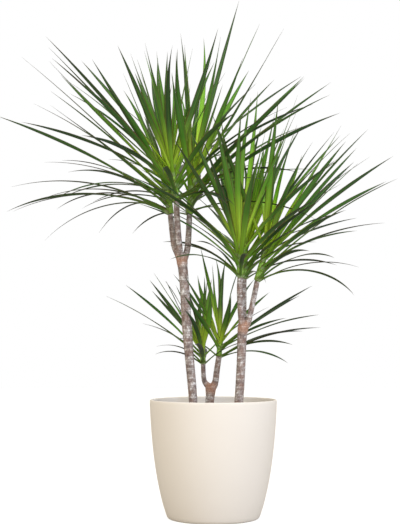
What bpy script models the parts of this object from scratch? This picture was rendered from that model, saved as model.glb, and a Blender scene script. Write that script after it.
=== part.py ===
"""Potted dracaena: three canes in a plain round pot, eight crowns of long narrow leaves.

Metres, +Z up. The origin is the centre of the pot's foot. +X is the side where the crowns of the
middle cane hang out, and +Y is the side where the short cane stands.
"""

import math
import random

import bpy
from mathutils import Vector
from mathutils.bvhtree import BVHTree

GAP = 0.0003                  # left between two pieces that touch

# pot
POT_HEIGHT = 0.276
RIM_RADIUS = 0.1495
FOOT_RADIUS = 0.1015
WALL = 0.0045
FLOOR = 0.006
# outer side from the rim down: height and radius
POT_SIDE = (
    (0.2760, 0.1484),
    (0.2740, 0.1495),
    (0.2600, 0.1495),
    (0.1900, 0.1447),
    (0.1300, 0.1384),
    (0.0750, 0.1291),
    (0.0300, 0.1183),
    (0.0080, 0.1107),
    (0.0012, 0.1065),
    (0.0000, 0.1015),
)

# soil
SOIL_TOP = 0.240
SOIL_CROWN = 0.004            # how much the middle stands above the edge

# canes: each run is a list of (x, y, z, radius); the first run of a cane is its trunk
CANES = {
    "tall_cane": (
        (
            (-0.0445, -0.010, 0.150, 0.0095),
            (-0.0465, -0.010, 0.240, 0.0100),
            (-0.0490, -0.010, 0.295, 0.0103),
            (-0.0565, -0.011, 0.378, 0.0108),
            (-0.0622, -0.010, 0.450, 0.0118),
            (-0.0680, -0.008, 0.543, 0.0113),
            (-0.0732, -0.008, 0.598, 0.0118),
            (-0.0752, -0.008, 0.614, 0.0128),
        ),
        (
            (-0.0755, -0.006, 0.606, 0.0088),
            (-0.0865, -0.002, 0.624, 0.0076),
            (-0.0940, 0.000, 0.645, 0.0070),
            (-0.1002, 0.003, 0.698, 0.0068),
            (-0.1023, 0.004, 0.716, 0.0062),
        ),
        (
            (-0.0760, -0.011, 0.606, 0.0086),
            (-0.0790, -0.019, 0.626, 0.0080),
            (-0.0815, -0.024, 0.650, 0.0076),
            (-0.0853, -0.029, 0.700, 0.0074),
            (-0.0868, -0.030, 0.7435, 0.0068),
        ),
        (
            (-0.0735, -0.006, 0.604, 0.0086),
            (-0.0655, 0.003, 0.616, 0.0078),
            (-0.0600, 0.009, 0.645, 0.0074),
            (-0.0572, 0.015, 0.700, 0.0070),
            (-0.0570, 0.016, 0.716, 0.0064),
        ),
    ),
    "middle_cane": (
        (
            (0.0540, -0.030, 0.150, 0.0100),
            (0.0580, -0.030, 0.250, 0.0104),
            (0.0620, -0.030, 0.310, 0.0106),
            (0.0656, -0.030, 0.378, 0.0106),
            (0.0668, -0.029, 0.417, 0.0111),
            (0.0705, -0.028, 0.452, 0.0118),
        ),
        (
            (0.0690, -0.030, 0.446, 0.0082),
            (0.0650, -0.036, 0.470, 0.0074),
            (0.0632, -0.040, 0.492, 0.0072),
            (0.0618, -0.044, 0.533, 0.0072),
            (0.0628, -0.045, 0.562, 0.0068),
        ),
        (
            (0.0712, -0.026, 0.448, 0.0078),
            (0.0722, -0.018, 0.472, 0.0066),
            (0.0724, -0.013, 0.498, 0.0062),
            (0.0734, -0.008, 0.561, 0.0058),
        ),
        (
            (0.0715, -0.028, 0.444, 0.0078),
            (0.0818, -0.029, 0.459, 0.0072),
            (0.0900, -0.030, 0.492, 0.0066),
            (0.0988, -0.030, 0.533, 0.0064),
            (0.1030, -0.030, 0.5545, 0.0062),
        ),
    ),
    "short_cane": (
        (
            (-0.0100, 0.048, 0.155, 0.0098),
            (-0.0088, 0.050, 0.250, 0.0105),
            (-0.0062, 0.050, 0.290, 0.0110),
            (-0.0050, 0.050, 0.307, 0.0124),
        ),
        (
            (-0.0060, 0.050, 0.301, 0.0070),
            (-0.0185, 0.050, 0.313, 0.0064),
            (-0.0225, 0.050, 0.328, 0.0059),
            (-0.0236, 0.049, 0.360, 0.0056),
        ),
        (
            (-0.0035, 0.050, 0.300, 0.0085),
            (0.0050, 0.049, 0.313, 0.0078),
            (0.0092, 0.048, 0.343, 0.0074),
            (0.0144, 0.047, 0.3765, 0.0068),
        ),
    ),
}
CANE_SIDES = 8
TIP_RADIUS = 0.0040           # growing tip of a branch, inside the leaf collars
BORE = 0.0046                 # hole through a collar
COLLAR_LIFT = 0.0012          # lowest collar above the slanting end of its branch

# crowns, in the order of the branches: axis lean and heading in degrees, size
CROWNS = (
    ("tall_left", "tall_cane", 1, 6, 183, "large"),
    ("tall_front", "tall_cane", 2, 9, 190, "large"),
    ("tall_right", "tall_cane", 3, 5, 10, "large"),
    ("middle_front", "middle_cane", 1, 2, 250, "medium"),
    ("middle_back", "middle_cane", 2, 4, 60, "medium"),
    ("middle_right", "middle_cane", 3, 16, 355, "medium"),
    ("short_left", "short_cane", 1, 5, 185, "small"),
    ("short_right", "short_cane", 2, 4, 350, "small"),
)
# age of a whorl: collar height and radius, then lean, reach, arch, width and least number of leaves
WHORLS = {
    "large": (
        ("drooping", 0.024, 0.0100, 96, 0.29, 26, 0.0125, 7),
        ("outer", 0.022, 0.0094, 71, 0.36, 14, 0.0140, 7),
        ("middle", 0.020, 0.0088, 49, 0.38, 8, 0.0155, 8),
        ("inner", 0.018, 0.0081, 30, 0.37, 4, 0.0150, 8),
        ("heart", 0.018, 0.0073, 13, 0.30, 2, 0.0118, 7),
    ),
    "medium": (
        ("drooping", 0.022, 0.0096, 84, 0.21, 26, 0.0120, 5),
        ("outer", 0.022, 0.0092, 66, 0.31, 14, 0.0140, 6),
        ("middle", 0.020, 0.0087, 47, 0.36, 8, 0.0155, 8),
        ("inner", 0.018, 0.0081, 29, 0.37, 4, 0.0150, 8),
        ("heart", 0.018, 0.0073, 12, 0.31, 2, 0.0118, 7),
    ),
    "small": (
        ("drooping", 0.015, 0.0082, 86, 0.15, 22, 0.0095, 5),
        ("outer", 0.014, 0.0080, 61, 0.19, 12, 0.0108, 6),
        ("inner", 0.014, 0.0077, 36, 0.20, 5, 0.0115, 7),
        ("heart", 0.014, 0.0073, 14, 0.18, 2, 0.0098, 6),
    ),
}
# steepest leaf of each age, from the heart outwards
AGE_LEANS = {"large": (22, 38, 59, 84), "medium": (22, 38, 59, 82), "small": (23, 47, 76)}

# the long leaves that give each crown its outline: heading, lean, reach, arch
LONG_LEAVES = {
    "tall_left": (
        (190, 67, 0.445, 9), (155, 57, 0.455, 8), (222, 64, 0.380, 6), (138, 73, 0.400, 14),
        (205, 91, 0.385, 22), (160, 94, 0.420, 22), (183, 97, 0.385, 25), (232, 88, 0.340, 22),
        (141, 92, 0.380, 25), (216, 97, 0.350, 26), (150, 105, 0.380, 30), (128, 104, 0.310, 36),
        (168, 47, 0.510, 3),
    ),
    "tall_front": (
        (212, 48, 0.445, 2), (156, 46, 0.465, 4), (200, 46, 0.420, 3), (176, 46, 0.415, -4),
        (142, 51, 0.450, 8), (230, 60, 0.380, 10), (232, 35, 0.345, 6), (130, 27, 0.375, 4),
        (247, 28, 0.330, 5), (118, 25, 0.325, 5), (215, 24, 0.265, 3), (264, 20, 0.300, 4),
        (320, 112, 0.200, 30),
    ),
    "tall_right": (
        (98, 18, 0.415, 4), (250, 11, 0.380, 2), (75, 16, 0.425, 3), (326, 17, 0.470, 2),
        (38, 26, 0.500, 2), (330, 34, 0.445, -3), (50, 34, 0.410, 6), (25, 45, 0.445, 3),
        (322, 54, 0.400, 6), (12, 51, 0.455, 4), (38, 61, 0.420, 12), (336, 66, 0.410, 10),
        (150, 118, 0.190, 30),
    ),
    "middle_front": (
        (250, 31, 0.335, 6), (102, 22, 0.370, 4), (282, 17, 0.370, 2), (225, 36, 0.330, 4),
        (66, 16, 0.430, 2), (238, 72, 0.270, 18), (205, 84, 0.180, 28),
    ),
    "middle_back": (
        (62, 25, 0.420, 3), (48, 26, 0.470, 2), (52, 33, 0.420, 4), (70, 107, 0.180, 30),
    ),
    "middle_right": (
        (304, 36, 0.315, 4), (36, 36, 0.430, 2), (318, 43, 0.350, 4), (344, 41, 0.340, 3),
        (34, 48, 0.385, 6), (329, 56, 0.395, 6), (22, 60, 0.425, 8), (350, 58, 0.340, 8),
        (332, 76, 0.310, 14), (45, 86, 0.270, 25), (300, 87, 0.190, 28), (325, 110, 0.255, 38),
    ),
    "short_left": (
        (196, 61, 0.270, 8), (160, 51, 0.260, 5), (225, 46, 0.235, 5), (140, 39, 0.250, 4),
        (188, 40, 0.190, 3), (218, 33, 0.200, 3), (248, 27, 0.170, 4), (90, 12, 0.150, 2),
    ),
    "short_right": (
        (100, 14, 0.220, 2), (284, 16, 0.215, 2), (285, 40, 0.150, 8), (120, 21, 0.260, 2),
        (28, 62, 0.260, 8), (334, 60, 0.275, 6), (15, 74, 0.265, 10), (338, 81, 0.255, 14),
        (26, 82, 0.235, 16), (324, 90, 0.205, 22), (350, 105, 0.170, 28),
    ),
}

# blade outline: place along the leaf, share of its greatest half width
BLADE = ((0.0, None), (0.22, 0.86), (0.56, 0.86))
BLADE_FOOT = 0.0032           # half width where the leaf leaves its collar
KEEL = 0.0012                 # depth of the midrib below the blade's edges
SPARE = 0.0005                # extra size of a leaf while it looks for a free place


def clear_scene():
    for old in list(bpy.data.objects):
        bpy.data.objects.remove(old, do_unlink=True)
    for old in list(bpy.data.collections):
        bpy.data.collections.remove(old)


def collection(name, hidden=False):
    made = bpy.data.collections.new(name)
    bpy.context.scene.collection.children.link(made)
    made.hide_render = hidden
    return made


def material(name, colour, roughness):
    made = bpy.data.materials.new(name)
    made.use_nodes = True
    shader = made.node_tree.nodes["Principled BSDF"]
    shader.inputs["Base Color"].default_value = (*colour, 1.0)
    shader.inputs["Roughness"].default_value = roughness
    return made


def add_mesh(name, verts, faces, group, mat=None):
    mesh = bpy.data.meshes.new(name)
    mesh.from_pydata([tuple(v) for v in verts], [], faces)
    mesh.validate()
    made = bpy.data.objects.new(name, mesh)
    group.objects.link(made)
    if mat:
        mesh.materials.append(mat)
    return made


def add_tool(name, verts, faces, group):
    made = add_mesh(name, verts, faces, group)
    made.display_type = "WIRE"
    made.hide_render = True
    return made


def boolean(target, tool, operation):
    cut = target.modifiers.new(tool.name, "BOOLEAN")
    cut.operation = operation
    cut.solver = "EXACT"
    cut.object = tool


def turned(name, profile, segments, group, mat):
    """A closed solid of revolution: the profile runs from the axis, out and back to the axis."""
    verts = [(radius, 0.0, height) for radius, height in profile]
    edges = [(k, k + 1) for k in range(len(verts) - 1)]
    mesh = bpy.data.meshes.new(name)
    mesh.from_pydata(verts, edges, [])
    made = bpy.data.objects.new(name, mesh)
    group.objects.link(made)
    mesh.materials.append(mat)
    screw = made.modifiers.new("turn", "SCREW")
    screw.axis = "Z"
    screw.angle = math.tau
    screw.steps = segments
    screw.render_steps = segments
    screw.use_merge_vertices = True
    screw.merge_threshold = 0.00005
    screw.use_normal_calculate = False
    return made


def inner_radius(height):
    """Inside radius of the pot at a height."""
    side = [(z, r - WALL) for z, r in POT_SIDE]
    for (z1, r1), (z0, r0) in zip(side, side[1:]):
        if z0 <= height <= z1:
            return r0 + (r1 - r0) * (height - z0) / (z1 - z0)
    return side[0][1]


def make_pot(group, mat):
    outer = [(r, z) for z, r in POT_SIDE]
    inner = [(inner_radius(z) - (0.002 if z < 0.02 else 0), z) for z in
             (FLOOR, 0.030, 0.075, 0.130, 0.190, 0.260)]
    lip = [(RIM_RADIUS - WALL, 0.2740), (RIM_RADIUS - WALL + 0.0011, POT_HEIGHT)]
    # down the outside from the rim, then under the foot to the axis
    run = [(0.0, FLOOR)] + inner + lip + outer + [(0.0, 0.0)]
    return turned("pot", run, 40, group, mat)


def make_soil(group, tools, mat):
    edge = [(inner_radius(z) - GAP - (0.0025 if z < 0.02 else 0), z) for z in
            (FLOOR + GAP, 0.030, 0.075, 0.130, 0.190, SOIL_TOP)]
    top = [(0.090, SOIL_TOP + SOIL_CROWN), (0.0, SOIL_TOP + SOIL_CROWN)]
    run = [(0.0, FLOOR + GAP)] + edge + top
    soil = turned("soil", run, 40, group, mat)
    for name, runs in CANES.items():
        stub = [(x, y, z, r + GAP) for x, y, z, r in runs[0][:3]]
        low = (*stub[0][:2], stub[0][2] - GAP, stub[0][3])
        verts, faces = tube([low] + stub[1:], CANE_SIDES)
        boolean(soil, add_tool(f"{name}_socket", verts, faces, tools), "DIFFERENCE")
    return soil


def tube(run, sides):
    """A closed round rod through (x, y, z, radius) stations."""
    centres = [Vector(row[:3]) for row in run]
    verts = []
    faces = []
    for k, row in enumerate(run):
        ahead = centres[min(k + 1, len(run) - 1)] - centres[max(k - 1, 0)]
        ahead.normalize()
        across = Vector((0, 1, 0)).cross(ahead).normalized()
        up = ahead.cross(across)
        for j in range(sides):
            turn = math.tau * j / sides
            verts.append(centres[k] + row[3] * (math.cos(turn) * across + math.sin(turn) * up))
    for k in range(len(run) - 1):
        for j in range(sides):
            a, b = k * sides + j, k * sides + (j + 1) % sides
            faces.append((a, b, b + sides, a + sides))
    faces.append(tuple(reversed(range(sides))))
    faces.append(tuple(range(len(verts) - sides, len(verts))))
    return verts, faces


def direction(heading, lean):
    return Vector((math.sin(lean) * math.cos(heading), math.sin(lean) * math.sin(heading),
                   math.cos(lean)))


def crown_frame(crown):
    """Foot and axis of a crown's leafy stem, and its length."""
    _, cane, branch, lean, heading, size = crown
    foot = Vector(CANES[cane][branch][-1][:3])
    axis = direction(math.radians(heading), math.radians(lean))
    length = sum(whorl[1] for whorl in WHORLS[size])
    return foot, axis, length


def make_cane(name, group, tools, mat):
    runs = CANES[name]
    verts, faces = tube(runs[0], CANE_SIDES)
    cane = add_mesh(name, verts, faces, group, mat)
    for crown in (row for row in CROWNS if row[1] == name):
        branch = crown[2]
        verts, faces = tube(runs[branch], CANE_SIDES)
        boolean(cane, add_tool(f"{crown[0]}_branch", verts, faces, tools), "UNION")
        foot, axis, length = crown_frame(crown)
        low = foot - axis * 0.004
        high = foot + axis * (length - WHORLS[crown[5]][-1][1] + 0.006)
        verts, faces = tube([(*low, TIP_RADIUS), (*high, TIP_RADIUS)], 8)
        boolean(cane, add_tool(f"{crown[0]}_tip", verts, faces, tools), "UNION")
    return cane


def collar(foot, axis, low, high, radius, bored):
    """A ring round the growing tip, or a blind cap where the tip ends inside it."""
    sides = 8
    across = Vector((0, 1, 0)).cross(axis).normalized()
    up = axis.cross(across)
    # rings: outside low and high, then the bore
    if bored:
        rings = ((low, radius), (high, radius - 0.0006), (high, BORE), (low, BORE))
    else:
        rings = ((low, radius), (high - 0.003, radius - 0.0008), (high, radius * 0.45),
                 (low + 0.0085, BORE), (low, BORE))
    verts = []
    for height, size in rings:
        for j in range(sides):
            turn = math.tau * j / sides
            verts.append(foot + axis * height
                         + size * (math.cos(turn) * across + math.sin(turn) * up))
    faces = []

    def band(one, two):
        for j in range(sides):
            a, b = one * sides + j, one * sides + (j + 1) % sides
            faces.append((a, b, two * sides + b % sides, two * sides + j))

    if bored:
        for one in range(4):
            band(one, (one + 1) % 4)
    else:
        band(0, 1)
        band(1, 2)
        faces.append(tuple(2 * sides + j for j in range(sides)))
        faces.append(tuple(3 * sides + j for j in reversed(range(sides))))
        band(3, 4)
        band(4, 0)
    return verts, faces


def bezier(spine, t):
    a, b, c, d = spine
    s = 1 - t
    point = a * s ** 3 + b * 3 * s * s * t + c * 3 * s * t * t + d * t ** 3
    ahead = (b - a) * s * s + (c - b) * 2 * s * t + (d - c) * t * t
    return point, ahead.normalized()


def leaf_spine(root, tip, arch, sweep):
    """Curve of a leaf's midrib, and the level direction across its blade."""
    chord = tip - root
    reach = chord.length
    lean = math.acos(chord.z / reach)
    heading = math.atan2(chord.y, chord.x)
    bend = min(math.radians(arch), lean - math.radians(2))
    side = Vector((-math.sin(heading), math.cos(heading), 0))
    first = root + direction(heading, lean - bend) * reach / 3
    last = tip - direction(heading, lean + bend) * reach / 3 + side * reach * sweep
    return (root, first, last, tip), side


def leaf_solid(spine, side, half, spare=0.0, start=0):
    """Coarse closed blade: two edges and a keel at each station, then the point."""
    verts = []
    for place, share in BLADE[start:]:
        point, ahead = bezier(spine, place)
        normal = ahead.cross(side)
        width = (BLADE_FOOT if share is None else half * share) + spare
        verts.append(point - side * width + normal * spare)
        verts.append(point - normal * (KEEL + spare))
        verts.append(point + side * width + normal * spare)
    count = len(verts) // 3
    verts.append(spine[3])
    faces = [(2, 1, 0)]
    for k in range(count - 1):
        for j in range(3):
            a, b = 3 * k + j, 3 * k + (j + 1) % 3
            faces += [(a, b, b + 3), (a, b + 3, a + 3)]
    last = 3 * (count - 1)
    faces += [(last + j, last + (j + 1) % 3, len(verts) - 1) for j in range(3)]
    return verts, faces


class Space:
    """What already stands in the air, so that a new leaf can grow past it."""

    def __init__(self):
        self.solids = []

    def add(self, node, verts, faces, own=None):
        low = [min(v[k] for v in verts) for k in range(3)]
        high = [max(v[k] for v in verts) for k in range(3)]
        self.solids.append((node, low, high, BVHTree.FromPolygons(verts, faces), own))

    def free(self, node, solid, outer):
        low = [min(v[k] for v in solid[0]) for k in range(3)]
        high = [max(v[k] for v in solid[0]) for k in range(3)]
        tree = BVHTree.FromPolygons(*solid)
        free_end = BVHTree.FromPolygons(*outer)
        for other, lowest, highest, shape, own in self.solids:
            if any(low[k] > highest[k] or high[k] < lowest[k] for k in range(3)):
                continue
            if other == node:
                if own is not None and own.overlap(free_end):
                    return False
            elif shape.overlap(tree):
                return False
        return True


def leaf_age(lean, size):
    """Index of the whorl, counted from the bottom, that a leaf of this lean belongs to."""
    leans = AGE_LEANS[size]
    younger = sum(1 for limit in leans if lean > limit)
    return len(leans) - younger


def leaf_plan(index, crown):
    """Every leaf of a crown as (whorl, heading, lean, reach, arch, width, long or not)."""
    name, _, _, _, outward, size = crown
    chance = random.Random(130 + index)
    plan = []
    for heading, lean, reach, arch in LONG_LEAVES[name]:
        age = leaf_age(lean, size)
        width = WHORLS[size][age][6] * chance.uniform(0.95, 1.10)
        plan.append((age, heading, lean, reach, arch, width, True))
    for age, row in enumerate(WHORLS[size]):
        _, _, _, lean, reach, arch, width, least = row
        missing = least - sum(1 for leaf in plan if leaf[0] == age)
        for k in range(missing):
            heading = (73 * index + 29 * age + 137.5 * k + chance.uniform(-8, 8)) % 360
            out = math.cos(math.radians(heading - outward))
            plan.append((
                age, heading, lean + 6 * out + chance.uniform(-6, 6),
                reach * chance.uniform(0.86, 1.10), arch + chance.uniform(-3, 3),
                width * chance.uniform(0.80, 1.05), False,
            ))
    return plan


def place_leaf(space, node, frame, band, leaf, share, chance):
    """Turn a leaf in small steps until it passes clear of all that grew before it."""
    foot, axis, length = frame
    low, high, radius = band
    _, heading, lean, reach, arch, width, is_long = leaf
    step = 1.1 if is_long else 2.6
    middle = foot + axis * length * 0.5
    sweep = chance.uniform(-0.03, 0.03)
    for attempt in range(90):
        turn = heading + step * ((attempt + 1) // 2) * (-1) ** attempt * 0.9
        tilt = lean + step * 0.6 * ((attempt * 3) % 7 - 3) * (attempt > 0)
        out = direction(math.radians(turn), math.radians(tilt))
        tip = middle + out * reach
        level = Vector((math.cos(math.radians(turn)), math.sin(math.radians(turn)), 0))
        level = (level - axis * level.dot(axis)).normalized()
        root = foot + axis * (low + (high - low) * share) + level * (radius - 0.0016)
        spine, side = leaf_spine(root, tip, arch, sweep)
        solid = leaf_solid(spine, side, width / 2, SPARE)
        outer = leaf_solid(spine, side, width / 2, SPARE, start=1)
        if space.free(node, solid, outer):
            space.add(node, *solid, own=BVHTree.FromPolygons(*outer))
            return spine, side, width
    return None


def grow():
    """Grow all leaves: the long ones of every crown first, then the rest."""
    space = Space()
    for name, runs in CANES.items():
        for run in runs:
            wide = [(x, y, z, r + SPARE) for x, y, z, r in run]
            space.add(name, *tube(wide, 8))
    bands = {}
    for crown in CROWNS:
        frame = crown_frame(crown)
        height = COLLAR_LIFT
        for age, row in enumerate(WHORLS[crown[5]]):
            top = height + row[1] - GAP
            bands[crown[0], age] = (height, top, row[2])
            node = f"{crown[0]}_{row[0]}_leaves"
            foot, axis, _ = frame
            low, high = foot + axis * height, foot + axis * top
            space.add(node, *tube([(*low, row[2] + SPARE), (*high, row[2])], 8))
            height += row[1]
    leaves = {}
    for wanted in (True, False):
        for index, crown in enumerate(CROWNS):
            chance = random.Random(500 + index + 50 * wanted)
            frame = crown_frame(crown)
            plan = leaf_plan(index, crown)
            for age, row in enumerate(WHORLS[crown[5]]):
                node = f"{crown[0]}_{row[0]}_leaves"
                mine = [leaf for leaf in plan if leaf[0] == age]
                for k, leaf in enumerate(mine):
                    spread = 0.60 if age < len(WHORLS[crown[5]]) - 1 else 0.36
                    share = 0.22 + spread * ((k * 5) % len(mine)) / max(len(mine) - 1, 1)
                    if leaf[6] != wanted:
                        continue
                    grown = place_leaf(space, node, frame, bands[crown[0], age], leaf, share,
                                       chance)
                    if grown:
                        leaves.setdefault(node, []).append(grown)
    return leaves, bands


def make_crowns(group, tools, mats):
    leaves, bands = grow()
    for crown in CROWNS:
        foot, axis, _ = crown_frame(crown)
        rows = WHORLS[crown[5]]
        for age, row in enumerate(rows):
            node = f"{crown[0]}_{row[0]}_leaves"
            low, high, radius = bands[crown[0], age]
            bored = age < len(rows) - 1
            verts, faces = collar(foot, axis, low, high, radius, bored)
            whorl = add_mesh(node, verts, faces, group, mats[row[0]])
            for k, (spine, side, width) in enumerate(leaves.get(node, [])):
                verts, faces = leaf_solid(spine, side, width / 2)
                boolean(whorl, add_tool(f"{node}_{k + 1}", verts, faces, tools), "UNION")
    print("leaves:", sum(len(grown) for grown in leaves.values()))


def main():
    clear_scene()
    parts = collection("potted_dracaena")
    tools = collection("tools", hidden=True)
    pot = material("cream_matte_plastic", (0.85, 0.79, 0.71), 0.65)
    soil = material("dark_potting_soil", (0.05, 0.035, 0.025), 0.95)
    bark = material("grey_brown_bark", (0.30, 0.24, 0.20), 0.85)
    greens = {
        "drooping": material("drooping_leaf", (0.05, 0.12, 0.04), 0.45),
        "outer": material("outer_leaf", (0.06, 0.15, 0.04), 0.45),
        "middle": material("middle_leaf", (0.08, 0.20, 0.04), 0.42),
        "inner": material("inner_leaf", (0.12, 0.27, 0.05), 0.40),
        "heart": material("heart_leaf", (0.22, 0.40, 0.07), 0.38),
    }
    make_pot(parts, pot)
    make_soil(parts, tools, soil)
    for name in CANES:
        make_cane(name, parts, tools, bark)
    make_crowns(parts, tools, greens)


main()
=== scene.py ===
# %% [markdown]
# # A potted dracaena
# The plant has three bare canes that fork into eight crowns, and every crown is built from whorls of
# long leaves. The CAD frame already holds its sizes, so this lesson only adds the looks: each finished
# piece takes the place of one CAD node.

import math
import random

import bmesh
import bpy
import numpy as np
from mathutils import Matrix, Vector
from mathutils.bvhtree import BVHTree


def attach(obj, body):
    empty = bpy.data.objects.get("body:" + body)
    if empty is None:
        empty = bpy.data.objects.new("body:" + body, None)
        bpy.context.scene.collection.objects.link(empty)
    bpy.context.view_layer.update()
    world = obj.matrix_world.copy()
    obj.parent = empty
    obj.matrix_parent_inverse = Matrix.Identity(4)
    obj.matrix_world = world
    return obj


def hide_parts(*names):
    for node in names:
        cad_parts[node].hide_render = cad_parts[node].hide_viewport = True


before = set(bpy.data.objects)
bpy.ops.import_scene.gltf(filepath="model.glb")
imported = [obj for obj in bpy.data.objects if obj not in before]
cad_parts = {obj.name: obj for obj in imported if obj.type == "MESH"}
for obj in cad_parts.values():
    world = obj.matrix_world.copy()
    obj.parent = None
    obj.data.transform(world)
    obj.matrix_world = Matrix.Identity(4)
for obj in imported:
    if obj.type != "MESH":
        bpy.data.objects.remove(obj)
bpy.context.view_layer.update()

# %% [markdown]
# ## Sizes shared with the CAD
# A plant has no drawing, but its growth follows rules. The canes are runs of stations with a radius,
# and each crown is a stack of whorls, oldest at the bottom. These are the CAD's own values, because
# the looks have to grow from the same stems in the same places.

# %% Canes
GAP = 0.0003                  # left between two pieces that touch
# canes: each run is a list of (x, y, z, radius); the first run of a cane is its trunk
CANES = {
    "tall_cane": (
        ((-0.0445, -0.010, 0.150, 0.0095), (-0.0465, -0.010, 0.240, 0.0100),
         (-0.0490, -0.010, 0.295, 0.0103), (-0.0565, -0.011, 0.378, 0.0108),
         (-0.0622, -0.010, 0.450, 0.0118), (-0.0680, -0.008, 0.543, 0.0113),
         (-0.0732, -0.008, 0.598, 0.0118), (-0.0752, -0.008, 0.614, 0.0128)),
        ((-0.0755, -0.006, 0.606, 0.0088), (-0.0865, -0.002, 0.624, 0.0076),
         (-0.0940, 0.000, 0.645, 0.0070), (-0.1002, 0.003, 0.698, 0.0068),
         (-0.1023, 0.004, 0.716, 0.0062)),
        ((-0.0760, -0.011, 0.606, 0.0086), (-0.0790, -0.019, 0.626, 0.0080),
         (-0.0815, -0.024, 0.650, 0.0076), (-0.0853, -0.029, 0.700, 0.0074),
         (-0.0868, -0.030, 0.7435, 0.0068)),
        ((-0.0735, -0.006, 0.604, 0.0086), (-0.0655, 0.003, 0.616, 0.0078),
         (-0.0600, 0.009, 0.645, 0.0074), (-0.0572, 0.015, 0.700, 0.0070),
         (-0.0570, 0.016, 0.716, 0.0064)),
    ),
    "middle_cane": (
        ((0.0540, -0.030, 0.150, 0.0100), (0.0580, -0.030, 0.250, 0.0104),
         (0.0620, -0.030, 0.310, 0.0106), (0.0656, -0.030, 0.378, 0.0106),
         (0.0668, -0.029, 0.417, 0.0111), (0.0705, -0.028, 0.452, 0.0118)),
        ((0.0690, -0.030, 0.446, 0.0082), (0.0650, -0.036, 0.470, 0.0074),
         (0.0632, -0.040, 0.492, 0.0072), (0.0618, -0.044, 0.533, 0.0072),
         (0.0628, -0.045, 0.562, 0.0068)),
        ((0.0712, -0.026, 0.448, 0.0078), (0.0722, -0.018, 0.472, 0.0066),
         (0.0724, -0.013, 0.498, 0.0062), (0.0734, -0.008, 0.561, 0.0058)),
        ((0.0715, -0.028, 0.444, 0.0078), (0.0818, -0.029, 0.459, 0.0072),
         (0.0900, -0.030, 0.492, 0.0066), (0.0988, -0.030, 0.533, 0.0064),
         (0.1030, -0.030, 0.5545, 0.0062)),
    ),
    "short_cane": (
        ((-0.0100, 0.048, 0.155, 0.0098), (-0.0088, 0.050, 0.250, 0.0105),
         (-0.0062, 0.050, 0.290, 0.0110), (-0.0050, 0.050, 0.307, 0.0124)),
        ((-0.0060, 0.050, 0.301, 0.0070), (-0.0185, 0.050, 0.313, 0.0064),
         (-0.0225, 0.050, 0.328, 0.0059), (-0.0236, 0.049, 0.360, 0.0056)),
        ((-0.0035, 0.050, 0.300, 0.0085), (0.0050, 0.049, 0.313, 0.0078),
         (0.0092, 0.048, 0.343, 0.0074), (0.0144, 0.047, 0.3765, 0.0068)),
    ),
}
print("canes:", ", ".join(CANES))

# %% [markdown]
# A crown is described by the branch it ends, the lean of its stem and its size. A size stands for a
# whole stack of whorls, so that eight crowns need only three tables. Only the long leaves, which
# give each crown its outline, are listed one by one.

# %% Crowns and whorls
TIP_RADIUS = 0.0040           # growing tip of a branch, inside the leaf collars
BORE = 0.0046                 # hole through a collar
COLLAR_LIFT = 0.0012          # lowest collar above the slanting end of its branch

# crowns, in the order of the branches: axis lean and heading in degrees, size
CROWNS = (
    ("tall_left", "tall_cane", 1, 6, 183, "large"),
    ("tall_front", "tall_cane", 2, 9, 190, "large"),
    ("tall_right", "tall_cane", 3, 5, 10, "large"),
    ("middle_front", "middle_cane", 1, 2, 250, "medium"),
    ("middle_back", "middle_cane", 2, 4, 60, "medium"),
    ("middle_right", "middle_cane", 3, 16, 355, "medium"),
    ("short_left", "short_cane", 1, 5, 185, "small"),
    ("short_right", "short_cane", 2, 4, 350, "small"),
)
# age of a whorl: collar height and radius, then lean, reach, arch, width and least number of leaves
WHORLS = {
    "large": (
        ("drooping", 0.024, 0.0100, 96, 0.29, 26, 0.0125, 7),
        ("outer", 0.022, 0.0094, 71, 0.36, 14, 0.0140, 7),
        ("middle", 0.020, 0.0088, 49, 0.38, 8, 0.0155, 8),
        ("inner", 0.018, 0.0081, 30, 0.37, 4, 0.0150, 8),
        ("heart", 0.018, 0.0073, 13, 0.30, 2, 0.0118, 7),
    ),
    "medium": (
        ("drooping", 0.022, 0.0096, 84, 0.21, 26, 0.0120, 5),
        ("outer", 0.022, 0.0092, 66, 0.31, 14, 0.0140, 6),
        ("middle", 0.020, 0.0087, 47, 0.36, 8, 0.0155, 8),
        ("inner", 0.018, 0.0081, 29, 0.37, 4, 0.0150, 8),
        ("heart", 0.018, 0.0073, 12, 0.31, 2, 0.0118, 7),
    ),
    "small": (
        ("drooping", 0.015, 0.0082, 86, 0.15, 22, 0.0095, 5),
        ("outer", 0.014, 0.0080, 61, 0.19, 12, 0.0108, 6),
        ("inner", 0.014, 0.0077, 36, 0.20, 5, 0.0115, 7),
        ("heart", 0.014, 0.0073, 14, 0.18, 2, 0.0098, 6),
    ),
}
# steepest leaf of each age, from the heart outwards
AGE_LEANS = {"large": (22, 38, 59, 84), "medium": (22, 38, 59, 82), "small": (23, 47, 76)}
# %% [markdown]
# The long leaves are what the eye knows this plant by, so each has its own heading, lean, reach
# and arch, all but the arch measured from the middle of its crown.

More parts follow.
